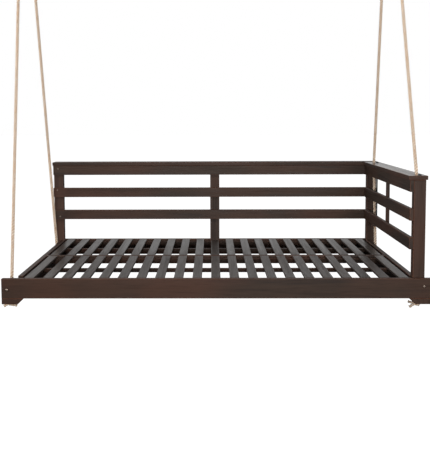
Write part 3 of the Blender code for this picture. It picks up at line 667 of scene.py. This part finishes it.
# ---- seat ----------------------------------------------------------------------------------
def make_seat():
    board("front_beam_board", "front_beam", "X", 0.0016)
    board("rear_beam_board", "rear_beam", "X", 0.0016)
    for node in ("left_side_rail", "right_side_rail"):
        board(node + "_board", node, "Y", 0.002)
    for node in ("front_mid_rail", "rear_mid_rail"):
        board(node + "_board", node, "X", 0.0012)
    for node in ("front_beam_ledger", "rear_mid_ledger", "rear_beam_ledger_left", "rear_beam_ledger_right"):
        board(node + "_stick", node, "X", 0.001)
    for node in ("rear_left_post", "rear_middle_post", "rear_right_post", "arm_front_post",
                 "front_left_corner_block"):
        board(node + "_timber", node, "Z", 0.0025)
    for node in ("back_top_rail", "back_middle_rail", "back_lower_rail"):
        board(node + "_board", node, "X", 0.002)
    for node in ("arm_top_rail", "arm_middle_rail", "arm_lower_rail"):
        board(node + "_board", node, "Y", 0.002)
    board("arm_middle_stile_board", "arm_middle_stile", "Z", 0.0015)
    board("back_cap_board", "back_cap", "X", 0.0014)
    board("arm_bolt_cleat_block", "arm_bolt_cleat", "Z", 0.0015)


def make_cross_members():
    for side, sign, insets in (("left", -1, LEFT_INSETS), ("right", 1, RIGHT_INSETS)):
        node = side + "_cross_member"
        low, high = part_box(node)
        end_x = low.x if sign < 0 else high.x
        drills = [(Vector((end_x - sign * insets[end], ROPE_Y[side][end], (low.z + high.z) / 2)), (0, 0, 1),
                   HOLE_RADIUS, 3 * CROSS_THICKNESS) for end in ("front", "rear")]
        board(node + "_board", node, "Y", 0.002, holes=drills, chamfer=(-sign, CROSS_CHAMFER))


def make_arm_cap():
    low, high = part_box("arm_cap")
    middle = (low.z + high.z) / 2
    drills = [(Vector((BEAM_HIGH.x - CAP_INSETS[end], ROPE_Y["right"][end], middle)), (0, 0, 1),
               HOLE_RADIUS, 5 * (high.z - low.z)) for end in ("front", "rear")]
    board("arm_cap_board", "arm_cap", "Y", 0.0016, material=CAP_WOOD, holes=drills)


def make_slats():
    """Separate slats and a batten for each half of the seat."""
    for half in ("front", "rear"):
        node = half + "_slat_panel"
        low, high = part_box(node)
        pitch = (high.x - low.x - SLAT_WIDTH) / (SLAT_COUNT - 1)
        middle_y = (low.y + high.y) / 2
        for k in range(SLAT_COUNT):
            x = low.x + SLAT_WIDTH / 2 + pitch * k
            back = high.y
            if half == "rear" and k == SLAT_COUNT // 2:
                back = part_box("rear_middle_post")[0].y - FIT_GAP
            slat_low = Vector((x - SLAT_WIDTH / 2, low.y, high.z - SLAT_THICKNESS))
            slat_high = Vector((x + SLAT_WIDTH / 2, back, high.z))
            slat = add_object(f"{half}_slat_{k + 1:02d}", board_mesh(slat_low, slat_high, 0.0018),
                              SLAT_WOOD, SWING, [node] if k == 0 else [])
            weight_normals(slat)
        top = high.z - SLAT_THICKNESS - FIT_GAP
        batten_low = Vector((low.x, middle_y - BATTEN_WIDTH / 2, top - BATTEN_HEIGHT))
        batten_high = Vector((high.x, middle_y + BATTEN_WIDTH / 2, top))
        batten = add_object(f"{half}_slat_batten", board_mesh(batten_low, batten_high, 0.001),
                            WOOD["X"], SWING)
        weight_normals(batten)


# ---- bolts, screws and hanging gear --------------------------------------------------------
def make_bolts():
    for side in ("left", "right"):
        low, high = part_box(side + "_beam_bolt")
        place = Vector(((low.x + high.x) / 2, BEAM_LOW.y, (low.z + high.z) / 2))
        profile = [(0.0, -0.010), (0.0040, -0.010), (0.0040, 0.0), (0.0066, 0.0),
                   (0.0066, 0.0008), (0.0058, 0.0019), (0.0040, 0.0026), (0.0, 0.0030)]
        turned(side + "_beam_bolt_head", profile, [place], (0, -1, 0), BRONZED, SWING,
               [side + "_beam_bolt"])
    cap_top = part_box("arm_cap")[1].z
    for end in ("front", "rear"):
        low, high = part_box(f"arm_{end}_bolt")
        place = Vector(((low.x + high.x) / 2, (low.y + high.y) / 2, cap_top))
        foot = low.z - cap_top
        shank, root = 0.0045, 0.0039
        profile = [(0.0, foot), (root, foot)]
        for k in range(THREAD_TURNS):
            height = foot + 0.001 + THREAD_PITCH * k
            profile += [(root, height), (shank, height + 0.0005), (shank, height + 0.0008)]
        profile += [(shank, foot + 0.064), (shank, 0.0), (0.0095, 0.0), (0.0095, 0.0011), (0.0080, 0.0012),
                    (0.0078, 0.0026), (0.0062, 0.0046), (0.0036, 0.0057), (0.0, 0.0060)]
        turned(f"arm_{end}_through_bolt", profile, [place], (0, 0, 1), BLACK_STEEL, SWING,
               [f"arm_{end}_bolt"])


def screw_heads(name, places, axis, material=None):
    """Round-headed wood screws, each with a drive recess."""
    profile = [(0.0, -0.004), (0.0016, -0.004), (0.0016, 0.0), (0.0038, 0.0), (0.0038, 0.0004),
               (0.0030, 0.0013), (0.0014, 0.0017), (0.0012, 0.0006), (0.0, 0.0004)]
    turned(name, profile, places, axis, material or BRONZED, SWING, steps=20)


def make_screws():
    """Screws of the back rails (from the front at the left post, from behind at the others) and ledgers."""
    rails = ("back_top_rail", "back_middle_rail", "back_lower_rail")
    left_low, left_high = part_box("rear_left_post")
    front_places = []
    for rail, across, up in zip(rails, (0.53, 0.42, 0.69), (0.64, 0.76, 0.31)):
        low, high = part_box(rail)
        front_places.append(Vector((left_low.x + (left_high.x - left_low.x) * across, low.y,
                                    low.z + (high.z - low.z) * up)))
    screw_heads("back_rail_front_screws", front_places, (0, -1, 0))
    rear_places = []
    for post in ("rear_middle_post", "rear_right_post"):
        post_low, post_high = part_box(post)
        for rail in rails:
            low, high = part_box(rail)
            rear_places += [Vector(((post_low.x + post_high.x) / 2, post_high.y,
                                    low.z + (high.z - low.z) * up)) for up in (0.28, 0.72)]
    screw_heads("back_rail_rear_screws", rear_places, (0, 1, 0))
    under = []
    for node in ("front_beam_ledger", "front_mid_rail", "rear_mid_ledger", "rear_beam_ledger_left",
                 "rear_beam_ledger_right"):
        low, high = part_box(node)
        count = max(3, round((high.x - low.x) / SCREW_SPACING))
        run = high.x - low.x - 2 * SCREW_INSET
        under += [Vector((low.x + SCREW_INSET + run * k / (count - 1), (low.y + high.y) / 2, low.z))
                  for k in range(count)]
    screw_heads("ledger_screws", under, (0, 0, -1))
    cross = []
    for side in ("left", "right"):
        low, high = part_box(side + "_cross_member")
        cross += [Vector((low.x * (1 - share) + high.x * share, y, low.z)) for share in (0.38, 0.62)
                  for y in (low.y + 0.014, high.y - 0.014)]
    screw_heads("cross_member_screws", cross, (0, 0, -1))


def make_hanging_gear():
    for side in ("left", "right"):
        low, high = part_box(side + "_ring")
        wire = (high.x - low.x) / 2
        welded = ring_mesh(side + "_welded_ring", (low + high) / 2, (high.z - low.z) / 2 - wire, wire,
                           (1, 0, 0), 0.7)
        add_object(side + "_welded_ring", welded, ZINC, SWING, [side + "_ring"])
        low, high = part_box(side + "_ceiling_eye")
        radius = (high.x - low.x) / 2 - wire
        centre = Vector(((low.x + high.x) / 2, 0.0, low.z + radius + wire))
        forged = ring_mesh(side + "_forged_eye", centre, radius, wire, (0, 1, 0), 9.0)
        add_object(side + "_forged_eye", forged, ZINC, FITTINGS, [side + "_ceiling_eye"])
        plate_low, plate_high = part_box(side + "_ceiling_plate")
        neck = plate_low.z - FIT_GAP - (centre.z + radius)
        profile = [(0.0, -0.003), (0.0052, -0.003), (0.0058, 0.0), (0.0062, neck * 0.45),
                   (0.0115, neck * 0.5), (0.0118, neck * 0.85), (0.0110, neck), (0.0, neck)]
        turned(side + "_eye_collar", profile, [Vector((centre.x, 0.0, centre.z + radius))], (0, 0, 1),
               ZINC, FITTINGS)
        bm = bmesh.new()
        bmesh.ops.create_cube(bm, size=1.0)
        bmesh.ops.scale(bm, vec=plate_high - plate_low, verts=bm.verts)
        bmesh.ops.translate(bm, vec=(plate_low + plate_high) / 2, verts=bm.verts)
        corners = [e for e in bm.edges if abs(e.verts[0].co.z - e.verts[1].co.z) > 0.001]
        bmesh.ops.bevel(bm, geom=corners, offset=0.010, segments=7, profile=0.5, affect="EDGES")
        middle = (plate_low + plate_high) / 2
        bm = cut_holes(bm, [(middle + Vector((sign * PLATE_HOLE_SPACING / 2, 0, 0)), (0, 0, 1),
                             PLATE_HOLE_RADIUS, 0.03) for sign in (-1, 1)])
        round_edges(bm, 0.0007, 2)
        mesh = bpy.data.meshes.new(side + "_pressed_plate")
        bm.to_mesh(mesh)
        bm.free()
        plate = add_object(side + "_pressed_plate", mesh, BLACK_STEEL, FITTINGS,
                           [side + "_ceiling_plate"])
        weight_normals(plate)


# ---- camera and studio ---------------------------------------------------------------------
def make_camera():
    data = bpy.data.cameras.new("camera")
    camera = bpy.data.objects.new("camera", data)
    bpy.context.scene.collection.objects.link(camera)
    forward = Vector((-math.sin(CAMERA_YAW) * math.cos(CAMERA_PITCH),
                      math.cos(CAMERA_YAW) * math.cos(CAMERA_PITCH), -math.sin(CAMERA_PITCH)))
    right = forward.cross(Vector((0, 0, 1))).normalized()
    up = right.cross(forward)
    rolled_right = right * math.cos(CAMERA_ROLL) + up * math.sin(CAMERA_ROLL)
    rolled_up = up * math.cos(CAMERA_ROLL) - right * math.sin(CAMERA_ROLL)
    turn = Matrix((rolled_right, rolled_up, -forward)).transposed().to_4x4()
    camera.matrix_world = Matrix.Translation(DATUM + CAMERA_PLACE) @ turn
    data.sensor_fit = "HORIZONTAL"
    data.sensor_width = CAMERA_SENSOR
    data.lens = CAMERA_LENS
    data.shift_x, data.shift_y = CAMERA_SHIFT
    bpy.context.scene.camera = camera


def add_area_light(name, place, aim, size, power, colour=(1, 1, 1)):
    data = bpy.data.lights.new(name, "AREA")
    data.shape = "RECTANGLE"
    data.size, data.size_y = size
    data.energy = power
    data.color = colour
    light = bpy.data.objects.new(name, data)
    bpy.context.scene.collection.objects.link(light)
    light.location = DATUM + Vector(place)
    light.rotation_mode = "QUATERNION"
    light.rotation_quaternion = (Vector(aim) - Vector(place)).to_track_quat("-Z", "Y")


def make_world():
    """White for the camera; light for the object comes mostly from behind and above."""
    world = bpy.data.worlds.new("studio")
    world.use_nodes = True
    tree = world.node_tree
    tree.nodes.clear()
    way = tree.nodes.new("ShaderNodeSeparateXYZ")
    tree.links.new(tree.nodes.new("ShaderNodeTexCoord").outputs["Generated"], way.inputs[0])
    behind = span(tree, way.outputs[1], -0.2, 0.9)
    above = span(tree, way.outputs[2], -0.12, 0.06)
    strength = math_node(tree, "ADD", math_node(tree, "MULTIPLY", behind, BACK_LIGHT), FRONT_FILL)
    strength = math_node(tree, "ADD", math_node(tree, "MULTIPLY", strength, above), UNDER_FILL)
    lit = tree.nodes.new("ShaderNodeBackground")
    tree.links.new(strength, lit.inputs["Strength"])
    seen = tree.nodes.new("ShaderNodeBackground")
    seen.inputs["Color"].default_value = (1.0, 1.0, 1.0, 1.0)
    blend = tree.nodes.new("ShaderNodeMixShader")
    tree.links.new(tree.nodes.new("ShaderNodeLightPath").outputs["Is Camera Ray"], blend.inputs[0])
    tree.links.new(lit.outputs[0], blend.inputs[1])
    tree.links.new(seen.outputs[0], blend.inputs[2])
    output = tree.nodes.new("ShaderNodeOutputWorld")
    tree.links.new(blend.outputs[0], output.inputs["Surface"])
    bpy.context.scene.world = world


def make_floor():
    bm = bmesh.new()
    bmesh.ops.create_grid(bm, x_segments=1, y_segments=1, size=40.0)
    mesh = bpy.data.meshes.new("floor")
    bm.to_mesh(mesh)
    bm.free()
    floor = bpy.data.objects.new("floor", mesh)
    bpy.context.scene.collection.objects.link(floor)
    floor.location = (DATUM.x, DATUM.y, DATUM.z - FLOOR_DROP)
    made, _, shader = new_material("pale_floor")
    shader.inputs["Base Color"].default_value = (0.20, 0.20, 0.20, 1.0)
    shader.inputs["Emission Color"].default_value = (1.0, 1.0, 1.0, 1.0)
    shader.inputs["Emission Strength"].default_value = 0.99
    shader.inputs["Roughness"].default_value = 1.0
    shader.inputs["Specular IOR Level"].default_value = 0.0
    floor.data.materials.append(made)
    floor.visible_diffuse = False
    floor.visible_glossy = False


def make_studio():
    make_world()
    make_floor()
    add_area_light("front_soft_box", (0.5, -4.4, 0.55), (0.1, 0.4, 0.15), (4.2, 0.8), FRONT_POWER)
    add_area_light("top_soft_box", (0.2, -1.5, 3.0), (0.0, 0.5, 0.1), (3.0, 0.6), TOP_POWER)
    add_area_light("left_soft_box", (-3.6, -0.6, 1.0), (1.0, 0.5, 0.3), (1.6, 1.6), SIDE_POWER)


# ---- build ---------------------------------------------------------------------------------
bpy.context.scene.view_settings.view_transform = "Standard"
make_camera()
make_studio()
make_ropes()
make_seat()
make_cross_members()
make_arm_cap()
make_slats()
make_bolts()
make_screws()
make_hanging_gear()
